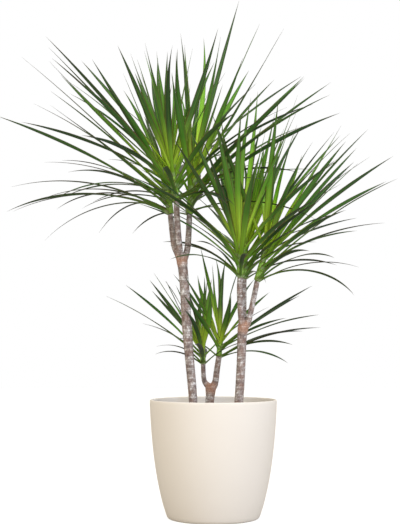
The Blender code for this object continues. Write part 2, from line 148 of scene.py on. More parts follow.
# %% Long leaves
# the long leaves that give each crown its outline: heading, lean, reach, arch
LONG_LEAVES = {
    "tall_left": (
        (190, 67, 0.445, 9), (155, 57, 0.455, 8), (222, 64, 0.380, 6), (138, 73, 0.400, 14),
        (205, 91, 0.385, 22), (160, 94, 0.420, 22), (183, 97, 0.385, 25), (232, 88, 0.340, 22),
        (141, 92, 0.380, 25), (216, 97, 0.350, 26), (150, 105, 0.380, 30), (128, 104, 0.310, 36),
        (168, 47, 0.510, 3),
    ),
    "tall_front": (
        (212, 48, 0.445, 2), (156, 46, 0.465, 4), (200, 46, 0.420, 3), (176, 46, 0.415, -4),
        (142, 51, 0.450, 8), (230, 60, 0.380, 10), (232, 35, 0.345, 6), (130, 27, 0.375, 4),
        (247, 28, 0.330, 5), (118, 25, 0.325, 5), (215, 24, 0.265, 3), (264, 20, 0.300, 4),
        (320, 112, 0.200, 30),
    ),
    "tall_right": (
        (98, 18, 0.415, 4), (250, 11, 0.380, 2), (75, 16, 0.425, 3), (326, 17, 0.470, 2),
        (38, 26, 0.500, 2), (330, 34, 0.445, -3), (50, 34, 0.410, 6), (25, 45, 0.445, 3),
        (322, 54, 0.400, 6), (12, 51, 0.455, 4), (38, 61, 0.420, 12), (336, 66, 0.410, 10),
        (150, 118, 0.190, 30),
    ),
    "middle_front": (
        (250, 31, 0.335, 6), (102, 22, 0.370, 4), (282, 17, 0.370, 2), (225, 36, 0.330, 4),
        (66, 16, 0.430, 2), (238, 72, 0.270, 18), (205, 84, 0.180, 28),
    ),
    "middle_back": (
        (62, 25, 0.420, 3), (48, 26, 0.470, 2), (52, 33, 0.420, 4), (70, 107, 0.180, 30),
    ),
    "middle_right": (
        (304, 36, 0.315, 4), (36, 36, 0.430, 2), (318, 43, 0.350, 4), (344, 41, 0.340, 3),
        (34, 48, 0.385, 6), (329, 56, 0.395, 6), (22, 60, 0.425, 8), (350, 58, 0.340, 8),
        (332, 76, 0.310, 14), (45, 86, 0.270, 25), (300, 87, 0.190, 28), (325, 110, 0.255, 38),
    ),
    "short_left": (
        (196, 61, 0.270, 8), (160, 51, 0.260, 5), (225, 46, 0.235, 5), (140, 39, 0.250, 4),
        (188, 40, 0.190, 3), (218, 33, 0.200, 3), (248, 27, 0.170, 4), (90, 12, 0.150, 2),
    ),
    "short_right": (
        (100, 14, 0.220, 2), (284, 16, 0.215, 2), (285, 40, 0.150, 8), (120, 21, 0.260, 2),
        (28, 62, 0.260, 8), (334, 60, 0.275, 6), (15, 74, 0.265, 10), (338, 81, 0.255, 14),
        (26, 82, 0.235, 16), (324, 90, 0.205, 22), (350, 105, 0.170, 28),
    ),
}
# blade outline: place along the leaf, share of its greatest half width
BLADE = ((0.0, None), (0.22, 0.86), (0.56, 0.86))
BLADE_FOOT = 0.0032           # half width where the leaf leaves its collar
KEEL = 0.0012                 # depth of the midrib below the blade's edges
SPARE = 0.0005                # extra size of a leaf while it looks for a free place
print("crowns:", len(CROWNS), "long leaves:", sum(len(rows) for rows in LONG_LEAVES.values()))

# %% [markdown]
# ## Where every leaf grows
# A leaf's midrib is one cubic curve, from the stem to its tip. To find out where a leaf has room, a
# coarse solid is enough: three points at each of a few places, and one at the tip.

# %% Curves and coarse solids
def tube(run, sides):
    """A closed round rod through (x, y, z, radius) stations."""
    centres = [Vector(row[:3]) for row in run]
    verts = []
    faces = []
    for k, row in enumerate(run):
        ahead = centres[min(k + 1, len(run) - 1)] - centres[max(k - 1, 0)]
        ahead.normalize()
        across = Vector((0, 1, 0)).cross(ahead).normalized()
        up = ahead.cross(across)
        for j in range(sides):
            turn = math.tau * j / sides
            verts.append(centres[k] + row[3] * (math.cos(turn) * across + math.sin(turn) * up))
    for k in range(len(run) - 1):
        for j in range(sides):
            a, b = k * sides + j, k * sides + (j + 1) % sides
            faces.append((a, b, b + sides, a + sides))
    faces.append(tuple(reversed(range(sides))))
    faces.append(tuple(range(len(verts) - sides, len(verts))))
    return verts, faces


def direction(heading, lean):
    return Vector((math.sin(lean) * math.cos(heading), math.sin(lean) * math.sin(heading),
                   math.cos(lean)))


def crown_frame(crown):
    """Foot and axis of a crown's leafy stem, and its length."""
    _, cane, branch, lean, heading, size = crown
    foot = Vector(CANES[cane][branch][-1][:3])
    axis = direction(math.radians(heading), math.radians(lean))
    length = sum(whorl[1] for whorl in WHORLS[size])
    return foot, axis, length

# %% [markdown]
# Each whorl springs from a collar round the growing tip. The topmost one is a cap, because the tip
# ends inside it.

# %% Collars
def collar(foot, axis, low, high, radius, bored):
    """A ring round the growing tip, or a blind cap where the tip ends inside it."""
    sides = 8
    across = Vector((0, 1, 0)).cross(axis).normalized()
    up = axis.cross(across)
    # rings: outside low and high, then the bore
    if bored:
        rings = ((low, radius), (high, radius - 0.0006), (high, BORE), (low, BORE))
    else:
        rings = ((low, radius), (high - 0.003, radius - 0.0008), (high, radius * 0.45),
                 (low + 0.0085, BORE), (low, BORE))
    verts = []
    for height, size in rings:
        for j in range(sides):
            turn = math.tau * j / sides
            verts.append(foot + axis * height
                         + size * (math.cos(turn) * across + math.sin(turn) * up))
    faces = []

    def band(one, two):
        for j in range(sides):
            a, b = one * sides + j, one * sides + (j + 1) % sides
            faces.append((a, b, two * sides + b % sides, two * sides + j))

    if bored:
        for one in range(4):
            band(one, (one + 1) % 4)
    else:
        band(0, 1)
        band(1, 2)
        faces.append(tuple(2 * sides + j for j in range(sides)))
        faces.append(tuple(3 * sides + j for j in reversed(range(sides))))
        band(3, 4)
        band(4, 0)
    return verts, faces

# %% [markdown]
# A leaf leaves the stem steeply and then arches over. Two end points and two handles say that,
# and the arch is the angle between the handles and the straight line from foot to tip.

# %% Midribs and coarse leaves
def bezier(spine, t):
    a, b, c, d = spine
    s = 1 - t
    point = a * s ** 3 + b * 3 * s * s * t + c * 3 * s * t * t + d * t ** 3
    ahead = (b - a) * s * s + (c - b) * 2 * s * t + (d - c) * t * t
    return point, ahead.normalized()


def leaf_spine(root, tip, arch, sweep):
    """Curve of a leaf's midrib, and the level direction across its blade."""
    chord = tip - root
    reach = chord.length
    lean = math.acos(chord.z / reach)
    heading = math.atan2(chord.y, chord.x)
    bend = min(math.radians(arch), lean - math.radians(2))
    side = Vector((-math.sin(heading), math.cos(heading), 0))
    first = root + direction(heading, lean - bend) * reach / 3
    last = tip - direction(heading, lean + bend) * reach / 3 + side * reach * sweep
    return (root, first, last, tip), side


def leaf_solid(spine, side, half, spare=0.0, start=0):
    """Coarse closed blade: two edges and a keel at each station, then the point."""
    verts = []
    for place, share in BLADE[start:]:
        point, ahead = bezier(spine, place)
        normal = ahead.cross(side)
        width = (BLADE_FOOT if share is None else half * share) + spare
        verts.append(point - side * width + normal * spare)
        verts.append(point - normal * (KEEL + spare))
        verts.append(point + side * width + normal * spare)
    count = len(verts) // 3
    verts.append(spine[3])
    faces = [(2, 1, 0)]
    for k in range(count - 1):
        for j in range(3):
            a, b = 3 * k + j, 3 * k + (j + 1) % 3
            faces += [(a, b, b + 3), (a, b + 3, a + 3)]
    last = 3 * (count - 1)
    faces += [(last + j, last + (j + 1) % 3, len(verts) - 1) for j in range(3)]
    return verts, faces

# %% [markdown]
# Where two leaves would pass through each other, the later one has to move, as a real leaf slides
# past its neighbour. A BVH tree of each coarse leaf tells quickly whether two of them overlap.

# %% Room in the air
class Space:
    """What already stands in the air, so that a new leaf can grow past it."""

    def __init__(self):
        self.solids = []

    def add(self, node, verts, faces, own=None):
        low = [min(v[k] for v in verts) for k in range(3)]
        high = [max(v[k] for v in verts) for k in range(3)]
        self.solids.append((node, low, high, BVHTree.FromPolygons(verts, faces), own))

    def free(self, node, solid, outer):
        low = [min(v[k] for v in solid[0]) for k in range(3)]
        high = [max(v[k] for v in solid[0]) for k in range(3)]
        tree = BVHTree.FromPolygons(*solid)
        free_end = BVHTree.FromPolygons(*outer)
        for other, lowest, highest, shape, own in self.solids:
            if any(low[k] > highest[k] or high[k] < lowest[k] for k in range(3)):
                continue
            if other == node:
                if own is not None and own.overlap(free_end):
                    return False
            elif shape.overlap(tree):
                return False
        return True

# %% [markdown]
# Successive leaves turn by 137.5 degrees, the golden angle, so that each new one stands in a gap of
# the older ones. A leaf that has no room is turned in small steps until it is clear. The long leaves
# grow first, and the same rule and seeds grew the CAD's leaves, so both models agree leaf by leaf.

# %% Growing
def leaf_age(lean, size):
    """Index of the whorl, counted from the bottom, that a leaf of this lean belongs to."""
    leans = AGE_LEANS[size]
    younger = sum(1 for limit in leans if lean > limit)
    return len(leans) - younger


def leaf_plan(index, crown):
    """Every leaf of a crown as (whorl, heading, lean, reach, arch, width, long or not)."""
    name, _, _, _, outward, size = crown
    chance = random.Random(130 + index)
    plan = []
    for heading, lean, reach, arch in LONG_LEAVES[name]:
        age = leaf_age(lean, size)
        width = WHORLS[size][age][6] * chance.uniform(0.95, 1.10)
        plan.append((age, heading, lean, reach, arch, width, True))
    for age, row in enumerate(WHORLS[size]):
        _, _, _, lean, reach, arch, width, least = row
        missing = least - sum(1 for leaf in plan if leaf[0] == age)
        for k in range(missing):
            heading = (73 * index + 29 * age + 137.5 * k + chance.uniform(-8, 8)) % 360
            out = math.cos(math.radians(heading - outward))
            plan.append((
                age, heading, lean + 6 * out + chance.uniform(-6, 6),
                reach * chance.uniform(0.86, 1.10), arch + chance.uniform(-3, 3),
                width * chance.uniform(0.80, 1.05), False,
            ))
    return plan


TRIES = 90                    # places tried before a leaf is left out
LONG_STEP, SHORT_STEP = 1.1, 2.6    # degrees that a leaf is turned at each try
SWEEP = 0.03                  # greatest sideways sweep, as a share of the reach
SET_IN = 0.0016               # depth of a leaf's foot inside its collar


def place_leaf(space, node, stem, band, leaf, share, chance):
    """Turn a leaf in small steps until it passes clear of all that grew before it."""
    foot, axis, length = stem
    low, high, radius = band
    _, heading, lean, reach, arch, width, is_long = leaf
    step = LONG_STEP if is_long else SHORT_STEP
    middle = foot + axis * length * 0.5
    sweep = chance.uniform(-SWEEP, SWEEP)
    for attempt in range(TRIES):
        turn = heading + step * ((attempt + 1) // 2) * (-1) ** attempt * 0.9
        tilt = lean + step * 0.6 * ((attempt * 3) % 7 - 3) * (attempt > 0)
        out = direction(math.radians(turn), math.radians(tilt))
        tip = middle + out * reach
        level = Vector((math.cos(math.radians(turn)), math.sin(math.radians(turn)), 0))
        level = (level - axis * level.dot(axis)).normalized()
        root = foot + axis * (low + (high - low) * share) + level * (radius - SET_IN)
        spine, side = leaf_spine(root, tip, arch, sweep)
        solid = leaf_solid(spine, side, width / 2, SPARE)
        outer = leaf_solid(spine, side, width / 2, SPARE, start=1)
        if space.free(node, solid, outer):
            space.add(node, *solid, own=BVHTree.FromPolygons(*outer))
            return spine, side, width
    return None

# %% [markdown]
# The canes and collars stand first. Then come the long leaves of every crown, and the other
# leaves last, so that the ones that matter most are moved least.

# %% All leaves
def grow():
    """Grow all leaves: the long ones of every crown first, then the rest."""
    space = Space()
    for name, runs in CANES.items():
        for run in runs:
            wide = [(x, y, z, r + SPARE) for x, y, z, r in run]
            space.add(name, *tube(wide, 8))
    bands = {}
    for crown in CROWNS:
        foot, axis, _ = crown_frame(crown)
        height = COLLAR_LIFT
        for age, row in enumerate(WHORLS[crown[5]]):
            top = height + row[1] - GAP
            bands[crown[0], age] = (height, top, row[2])
            node = f"{crown[0]}_{row[0]}_leaves"
            low, high = foot + axis * height, foot + axis * top
            space.add(node, *tube([(*low, row[2] + SPARE), (*high, row[2])], 8))
            height += row[1]
    leaves = {}
    for wanted in (True, False):
        for index, crown in enumerate(CROWNS):
            chance = random.Random(500 + index + 50 * wanted)
            stem = crown_frame(crown)
            plan = leaf_plan(index, crown)
            for age, row in enumerate(WHORLS[crown[5]]):
                node = f"{crown[0]}_{row[0]}_leaves"
                mine = [leaf for leaf in plan if leaf[0] == age]
                spread = 0.60 if age < len(WHORLS[crown[5]]) - 1 else 0.36
                for k, leaf in enumerate(mine):
                    share = 0.22 + spread * ((k * 5) % len(mine)) / max(len(mine) - 1, 1)
                    if leaf[6] != wanted:
                        continue
                    band = bands[crown[0], age]
                    grown = place_leaf(space, node, stem, band, leaf, share, chance)
                    if grown:
                        leaves.setdefault(node, []).append(grown)
    return leaves, bands


leaves, bands = grow()
print("leaves grown:", sum(len(grown) for grown in leaves.values()))

# %% [markdown]
# ## Small helpers
# Materials and node graphs are easier to read when one line makes one node. These helpers make the
# node in the tree that its first linked socket belongs to, fill its sockets with values or links,
# and give back the socket that the next line needs.

# %% Node helpers
def fill(socket, value):
    """A socket takes either a link or a plain value."""
    if isinstance(value, bpy.types.NodeSocket):
        socket.id_data.links.new(value, socket)
    elif value is not None:
        socket.default_value = value


def new_node(tree, kind, *values, inputs=None, **settings):
    """A node with its settings, and its sockets filled in order or by name."""
    node = tree.nodes.new(kind)
    for label, value in settings.items():
        setattr(node, label, value)
    for socket, value in zip(node.inputs, values):
        fill(socket, value)
    for label, value in (inputs or {}).items():
        fill(node.inputs[label], value)
    return node


def tree_of(*values):
    return next(v for v in values if isinstance(v, bpy.types.NodeSocket)).id_data


def sums(operation, *values, clamp=False):
    return new_node(tree_of(*values), "ShaderNodeMath", *values, operation=operation,
                    use_clamp=clamp).outputs[0]


def times(one, two, clamp=False):
    return sums("MULTIPLY", one, two, clamp=clamp)


def plus(one, two):
    return sums("ADD", one, two)


def minus(one, two, clamp=False):
    return sums("SUBTRACT", one, two, clamp=clamp)


def past(value, start, slope):
    """0 up to a start, then rising to 1 with a slope."""
    return times(minus(value, start), slope, clamp=True)


def vectors(operation, *values):
    return new_node(tree_of(*values), "ShaderNodeVectorMath", *values,
                    operation=operation).outputs[0]


def scaled(vector, factor):
    return new_node(tree_of(vector), "ShaderNodeVectorMath", vector, operation="SCALE",
                    inputs={"Scale": factor}).outputs[0]


def stretched(vector, *shares):
    return vectors("MULTIPLY", vector, shares)


def float_curve(value, points):
    node = new_node(tree_of(value), "ShaderNodeFloatCurve", inputs={"Value": value})
    curve = node.mapping.curves[0]
    curve.points[0].location = points[0]
    curve.points[1].location = points[-1]
    for point in points[1:-1]:
        curve.points.new(*point)
    node.mapping.update()
    return node.outputs[0]

# %% [markdown]
# Colours are mixed, spread over a ramp or broken up by noise, and every material here is made of
# those three.

# %% Colour and pattern helpers
def mixed(factor, one, two, blend="MIX"):
    """Colour one where the factor is 0, and colour two where it is 1."""
    node = new_node(tree_of(factor, one, two), "ShaderNodeMix", data_type="RGBA",
                    blend_type=blend)
    for place, value in ((0, factor), (6, one), (7, two)):
        fill(node.inputs[place], value)
    return node.outputs[2]


def ramp(value, *stops):
    """A colour ramp with stops of (place, red, green, blue)."""
    node = new_node(tree_of(value), "ShaderNodeValToRGB", value)
    elements = node.color_ramp.elements
    while len(elements) < len(stops):
        elements.new(0.5)
    for element, (place, *colour) in zip(elements, stops):
        element.position = place
        element.color = (*colour, 1)
    return node.outputs[0]


def noise(vector, scale, detail=4.0, roughness=0.55):
    inputs = {"Vector": vector, "Scale": scale, "Detail": detail, "Roughness": roughness}
    return new_node(tree_of(vector), "ShaderNodeTexNoise", inputs=inputs).outputs["Fac"]


def attribute(tree, name):
    return new_node(tree, "ShaderNodeAttribute", attribute_name=name).outputs["Fac"]


def new_material(name, roughness):
    """A material with its shader, and the place on the piece that its patterns read."""
    made = bpy.data.materials.new(name)
    made.use_nodes = True
    shader = made.node_tree.nodes["Principled BSDF"]
    shader.inputs["Roughness"].default_value = roughness
    place = new_node(made.node_tree, "ShaderNodeTexCoord").outputs["Object"]
    return made, shader, place


def bump(shader, height, strength, distance):
    inputs = {"Strength": strength, "Distance": distance, "Height": height}
    node = new_node(tree_of(height), "ShaderNodeBump", inputs=inputs)
    fill(shader.inputs["Normal"], node.outputs["Normal"])

# %% [markdown]
# Two parts of this plant repeat, the grains of soil and the leaves. Both graphs put copies of one
# mesh on points, make them real geometry and paint them, so those steps are helpers too.

# %% Geometry graph helpers
def new_graph(name, *sizes):
    """A geometry graph with named inputs, their sockets in it, and their identifiers."""
    tree = bpy.data.node_groups.new(name, "GeometryNodeTree")
    identifiers = []
    for label, kind in (("Geometry", "Geometry"), *sizes):
        socket = tree.interface.new_socket(label, in_out="INPUT", socket_type=f"NodeSocket{kind}")
        identifiers.append(socket.identifier)
    tree.interface.new_socket("Geometry", in_out="OUTPUT", socket_type="NodeSocketGeometry")
    return tree, new_node(tree, "NodeGroupInput").outputs, identifiers[1:]


def copies_on(tree, points, shape, **inputs):
    """Copies of an object's mesh on points, as real geometry."""
    info = new_node(tree, "GeometryNodeObjectInfo", inputs={"Object": shape})
    wanted = {"Points": points, "Instance": info.outputs["Geometry"], **inputs}
    copies = new_node(tree, "GeometryNodeInstanceOnPoints", inputs=wanted)
    return new_node(tree, "GeometryNodeRealizeInstances", copies.outputs[0]).outputs[0]


def painted(tree, geometry, paint):
    """The end of a graph: its geometry gets a material and goes to the output."""
    inputs = {"Geometry": geometry, "Material": paint}
    node = new_node(tree, "GeometryNodeSetMaterial", inputs=inputs)
    new_node(tree, "NodeGroupOutput", node.outputs[0])

# %% [markdown]
# A piece is finished when its modifiers are applied and its parts are joined. Then it rides on the
# root body, gets its material slot, and the CAD node it replaces is hidden.

# %% Mesh helpers
def placed(name, data):
    made = bpy.data.objects.new(name, data)
    bpy.context.scene.collection.objects.link(made)
    return made


def plain_mesh(name, verts, faces, edges=()):
    mesh = bpy.data.meshes.new(name)
    mesh.from_pydata([tuple(v) for v in verts], edges, faces)
    mesh.update()
    return mesh


def applied(obj):
    """The mesh that an object's modifiers make, and the object is gone."""
    graph = bpy.context.evaluated_depsgraph_get()
    mesh = bpy.data.meshes.new_from_object(obj.evaluated_get(graph))
    bpy.data.objects.remove(obj, do_unlink=True)
    return mesh


def run_graph(obj, tree, identifiers, *values):
    """The mesh that a geometry graph makes from an object, with its inputs set."""
    change = obj.modifiers.new("graph", "NODES")
    change.node_group = tree
    for identifier, value in zip(identifiers, values):
        change[identifier] = value
    return applied(obj)


def joined(name, *meshes):
    """One mesh from several, with their attributes."""
    objects = [placed(f"{name}_{k}", mesh) for k, mesh in enumerate(meshes)]
    bpy.ops.object.select_all(action="DESELECT")
    for made in objects:
        made.select_set(True)
    bpy.context.view_layer.objects.active = objects[0]
    bpy.ops.object.join()
    mesh = objects[0].data
    bpy.data.objects.remove(objects[0], do_unlink=True)
    return mesh


def store(mesh, label, values):
    """Keep one number for each point of a mesh, for a material or a graph to read."""
    mesh.attributes.new(label, "FLOAT", "POINT").data.foreach_set("value", values)


def read_points(mesh, what):
    """The places or normals of a mesh's points, as rows of x, y and z."""
    values = np.zeros(len(mesh.vertices) * 3)
    mesh.vertices.foreach_get(what, values)
    return values.reshape(-1, 3)


def finished(name, mesh, mat, node):
    """Put a finished mesh in the scene on the root body, and hide the CAD node it stands for."""
    piece = placed(name, mesh)
    mesh.materials.clear()
    mesh.materials.append(mat)
    mesh.polygons.foreach_set("use_smooth", [True] * len(mesh.polygons))
    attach(piece, "root")
    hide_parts(node)
    print(name, "faces:", len(mesh.polygons))

# %% [markdown]
# ## The pot
# The pot is moulded plastic with a matt, very slightly grained skin. A moulded pot is a body of
# revolution, so one profile turned about the axis makes it. The rim is a soft roll, because a mould
# can't leave a knife edge, and the foot turns under with a small radius.

# %% Pot profile
WALL = 0.0045
RIM_TOP = 0.2760
INNER_FLOOR = 0.0060
FOOT_ROUND = 0.0070           # radius of the corner under the foot
FOOT_FLAT = 0.1022            # radius of the flat that the pot stands on
FLOOR_ROUND = 0.0055          # radius of the corner inside, round the floor
FLOOR_FLAT = 0.1025           # radius of the flat floor inside
# the side, from the foot to the roll of the rim: radius and height
POT_SIDE = (
    (0.1107, 0.0092), (0.1183, 0.0330), (0.1260, 0.0640), (0.1341, 0.1050), (0.1417, 0.1600),
    (0.1470, 0.2200), (0.1493, 0.2600), (0.1495, RIM_TOP - WALL / 2),
)


def soft_run(run, parts):
    """Points of a run with more stations between them, on a soft curve."""
    rows = [np.array(row) for row in run]
    ends = [rows[0] * 2 - rows[1]] + rows + [rows[-1] * 2 - rows[-2]]
    made = []
    for k in range(1, len(ends) - 2):
        a, b, c, d = ends[k - 1:k + 3]
        for step in range(parts):
            t = step / parts
            made.append(0.5 * (2 * b + (c - a) * t + (2 * a - 5 * b + 4 * c - d) * t * t
                               + (3 * b - a - 3 * c + d) * t ** 3))
    return [tuple(float(v) for v in row) for row in made + [rows[-1]]]


def arc(centre, radius, first, last, steps):
    """Points of a round corner in a profile, between two angles in degrees."""
    angles = [math.radians(first + (last - first) * k / steps) for k in range(steps + 1)]
    return [(centre[0] + radius * math.cos(a), centre[1] + radius * math.sin(a)) for a in angles]


foot_corner = arc((FOOT_FLAT, FOOT_ROUND), FOOT_ROUND, -90, -30, 3)
side = soft_run(POT_SIDE, 3)
rim_roll = arc((side[-1][0] - WALL / 2, side[-1][1]), WALL / 2, 0, 180, 8)
inner_side = [(radius - WALL, height) for radius, height in reversed(side[2:-1])]
inner_corner = arc((FLOOR_FLAT, INNER_FLOOR + FLOOR_ROUND), FLOOR_ROUND, 0, -90, 4)
pot_profile = ([(0.0, 0.0)] + foot_corner + side + rim_roll[1:] + inner_side + inner_corner
               + [(0.0, INNER_FLOOR)])
print("profile points:", len(pot_profile))

# %% [markdown]
# A Screw modifier with no rise turns the profile. It can leave a shell inside out, so the faces of
# the closed mesh are turned outwards afterwards. The inner wall is marked with an attribute, because
# light that enters an open pot bounces about in it and makes its inside look paler.

# %% Pot body
POT_STEPS = 160
SAME_PLACE = 0.00005          # points nearer than this are one, which closes the poles


def turned(name, profile):
    """A closed mesh of revolution from a profile of radius and height."""
    rows = [(radius, 0.0, height) for radius, height in profile]
    made = placed(name, plain_mesh(name, rows, [], [(k, k + 1) for k in range(len(rows) - 1)]))
    screw = made.modifiers.new("turn", "SCREW")
    screw.axis = "Z"
    screw.angle = math.tau
    screw.steps = screw.render_steps = POT_STEPS
    screw.use_merge_vertices = True
    screw.merge_threshold = SAME_PLACE
    screw.use_normal_calculate = True
    mesh = applied(made)
    shape = bmesh.new()
    shape.from_mesh(mesh)
    bmesh.ops.recalc_face_normals(shape, faces=shape.faces)
    shape.to_mesh(mesh)
    shape.free()
    return mesh


pot_mesh = turned("pot_body", pot_profile)
outer = np.array(foot_corner + side)
at = read_points(pot_mesh, "co")
depth = np.interp(at[:, 2], outer[:, 1], outer[:, 0]) - np.hypot(at[:, 0], at[:, 1])
inside = ((depth > WALL * 0.8) & (at[:, 2] > INNER_FLOOR - 0.001)).astype(float)
store(pot_mesh, "inside", inside)
print("inner points:", int(inside.sum()))

# %% [markdown]
# The plastic isn't one flat colour. Its skin scatters light a little unevenly, and it has a very fine
# grain from the mould. Both are far too small to model, so they are noise in the colour and a bump.

# %% Pot material
CREAM = (0.840, 0.775, 0.695, 1)
PALE_CREAM = (0.870, 0.812, 0.735, 1)
GRAIN_CREAM = (0.70, 0.62, 0.53, 1)
# paler cream of the inner wall: painted bounce light, not a colour of the plastic
PAINTED_BOUNCE_CREAM = (0.950, 0.885, 0.800, 1)

pot_material, shader, place = new_material("cream_plastic", 0.62)
grain = noise(place, 900.0, 2.0)
skin = mixed(times(grain, 0.10), mixed(noise(place, 9.0, 3.0), CREAM, PALE_CREAM), GRAIN_CREAM)
# the inner wall is painted paler, as painted bounce light
inner = attribute(tree_of(place), "inside")
fill(shader.inputs["Base Color"], mixed(inner, skin, PAINTED_BOUNCE_CREAM))
bump(shader, grain, 0.12, 0.0003)
shader.inputs["Specular IOR Level"].default_value = 0.35
finished("pot_body", pot_mesh, pot_material, "pot")

# %% [markdown]
# ## The soil
# Potting mix is crumbly. One bumpy surface gives its broad lumps, and thousands of small grains on it
# give the crumbs. The surface is a disc of rings, and the same rings go on down the sides, where the
# pot hides them, so that the soil is one closed body.

# %% Soil body
SOIL_TOP = 0.240
SOIL_RIM = 0.1433
SOIL_CROWN = 0.0026           # the middle stands this much above the edge
SOIL_LUMPS = 0.0008           # height of the broad lumps
SOIL_RINGS = 46
SOIL_SPOKES = 120
# the hidden side, downwards: radius and height
SOIL_SIDE = ((0.1398, 0.190), (0.1335, 0.130), (0.1242, 0.075), (0.1134, 0.030), (0.1030, 0.0065))


def soil_height(x, y):
    broad = math.sin(31 * x + 1.3) * math.sin(27 * y + 0.4) + 0.6 * math.sin(71 * x - 50 * y)
    far = math.hypot(x, y) / SOIL_RIM
    return SOIL_TOP + SOIL_CROWN * (1 - far * far) + SOIL_LUMPS * broad * (1 - far ** 6)


def circle(radius):
    turns = [math.tau * spoke / SOIL_SPOKES for spoke in range(SOIL_SPOKES)]
    return [(radius * math.cos(turn), radius * math.sin(turn)) for turn in turns]


def soil_shape(side=()):
    """The top of the soil, and below it the rings of a side and a flat bottom."""
    verts = [(0.0, 0.0, soil_height(0.0, 0.0))]
    for ring in range(1, SOIL_RINGS + 1):
        verts += [(x, y, soil_height(x, y)) for x, y in circle(SOIL_RIM * ring / SOIL_RINGS)]
    for radius, height in side:
        verts += [(x, y, height) for x, y in circle(radius)]
    faces = [(0, 1 + k, 1 + (k + 1) % SOIL_SPOKES) for k in range(SOIL_SPOKES)]
    for first in range(1, len(verts) - SOIL_SPOKES, SOIL_SPOKES):
        for k in range(SOIL_SPOKES):
            a, b = first + k, first + (k + 1) % SOIL_SPOKES
            faces.append((a, a + SOIL_SPOKES, b + SOIL_SPOKES, b))
    if side:
        faces.append(tuple(reversed(range(len(verts) - SOIL_SPOKES, len(verts)))))
    return verts, faces


soil_mass = plain_mesh("soil_mass", *soil_shape(SOIL_SIDE))
print("soil points:", len(soil_mass.vertices))

# %% [markdown]
# The grains could be modelled one by one, but Geometry Nodes scatter them: they put a copy of one
# dented lump on random points of the surface, and turn and scale each copy by its own random value.

# %% Soil grains
GRAINS = 80000.0              # for each square metre
SMALLEST_GRAIN, LARGEST_GRAIN = 0.0009, 0.0046


def lump_of_soil():
    """One rough crumb about 1 m across, scaled down where it is used."""
    bpy.ops.mesh.primitive_ico_sphere_add(subdivisions=1, radius=0.5)
    ball = bpy.context.object
    chance = random.Random(5)
    for vert in ball.data.vertices:
        vert.co *= chance.uniform(0.78, 1.12)
        vert.co.z *= 0.75
    return ball


def grain_graph(lump):
    tree, (bed, amount, largest, _), identifiers = new_graph(
        "soil_grains", ("Grains per square metre", "Float"), ("Largest grain", "Float"))
    spread = new_node(tree, "GeometryNodeDistributePointsOnFaces",
                      inputs={"Seed": 11, "Mesh": bed, "Density": amount})
    size = new_node(tree, "FunctionNodeRandomValue", None, None, SMALLEST_GRAIN, largest,
                    inputs={"Seed": 3}, data_type="FLOAT")
    spin = new_node(tree, "FunctionNodeRandomValue", (0, 0, 0), (6.28, 6.28, 6.28),
                    inputs={"Seed": 8}, data_type="FLOAT_VECTOR")
    grains = copies_on(tree, spread.outputs["Points"], lump, Rotation=spin.outputs[0],
                       Scale=size.outputs[1])
    painted(tree, grains, soil_material)
    return tree, identifiers


soil_material, shader, place = new_material("potting_mix", 0.95)
crumbs = noise(place, 260.0, 6.0, 0.7)
dark = ramp(crumbs, (0.30, 0.012, 0.008, 0.006), (0.52, 0.045, 0.029, 0.019),
            (0.75, 0.130, 0.088, 0.058))
patches = times(noise(place, 40.0, 3.0), 0.35)
fill(shader.inputs["Base Color"], mixed(patches, dark, (0.09, 0.055, 0.035, 1)))
bump(shader, crumbs, 0.8, 0.001)

lump = lump_of_soil()
bed = placed("grain_bed", plain_mesh("grain_bed", *soil_shape()))
grain_mesh = run_graph(bed, *grain_graph(lump), GRAINS, LARGEST_GRAIN)
bpy.data.objects.remove(lump, do_unlink=True)
soil_mesh = joined("soil_bed", soil_mass, grain_mesh)
finished("soil_bed", soil_mesh, soil_material, "soil")

# %% [markdown]
# ## The canes
# A dracaena's cane is ringed: every leaf that fell left a scar right round it. Where the cane was
# cut, new shoots grew out sideways and then upwards, and left a rough reddish knuckle. The runs are
# made as round rods, melted together by a voxel remesh so that the fork has no seam, and then every
# point moves in or out by the ring it lies on.

# %% Cane rods
CANE_VOXEL = 0.0010
CANE_SIDES, TIP_SIDES = 28, 16


def growing_tips(name):
    """The thin green ends of a cane's branches, which run up inside the leaf collars."""
    tips = []
    for crown in (row for row in CROWNS if row[1] == name):
        foot, axis, length = crown_frame(crown)
        high = foot + axis * (length - WHORLS[crown[5]][-1][1] + 0.006)
        low = foot - axis * 0.004
        tips.append(tube([(*low, TIP_RADIUS), (*high, TIP_RADIUS)], TIP_SIDES))
    return tips


def melted(name, rods):
    """One mesh from several rods, with soft forks between them."""
    verts, faces = [], []
    for rod in rods:
        rod_verts, rod_faces = tube(rod, CANE_SIDES)
        faces += [tuple(i + len(verts) for i in face) for face in rod_faces]
        verts += rod_verts
    blank = placed(name, plain_mesh(name, verts, faces))
    melt = blank.modifiers.new("melt", "REMESH")
    melt.mode = "VOXEL"
    melt.voxel_size = CANE_VOXEL
    ease = blank.modifiers.new("ease", "SMOOTH")
    ease.factor = 0.5
    ease.iterations = 6
    return applied(blank)


print("growing tips:", sum(len(growing_tips(name)) for name in CANES))

# %% [markdown]
# To ring a crooked cane, each point of its mesh has to know where it lies: on which rod, how far
# along it, and at what angle round it. The distances are worked out in blocks of points, because
# one table of all points against all stations would fill the memory.

# %% Places along the canes
BLOCK = 4000


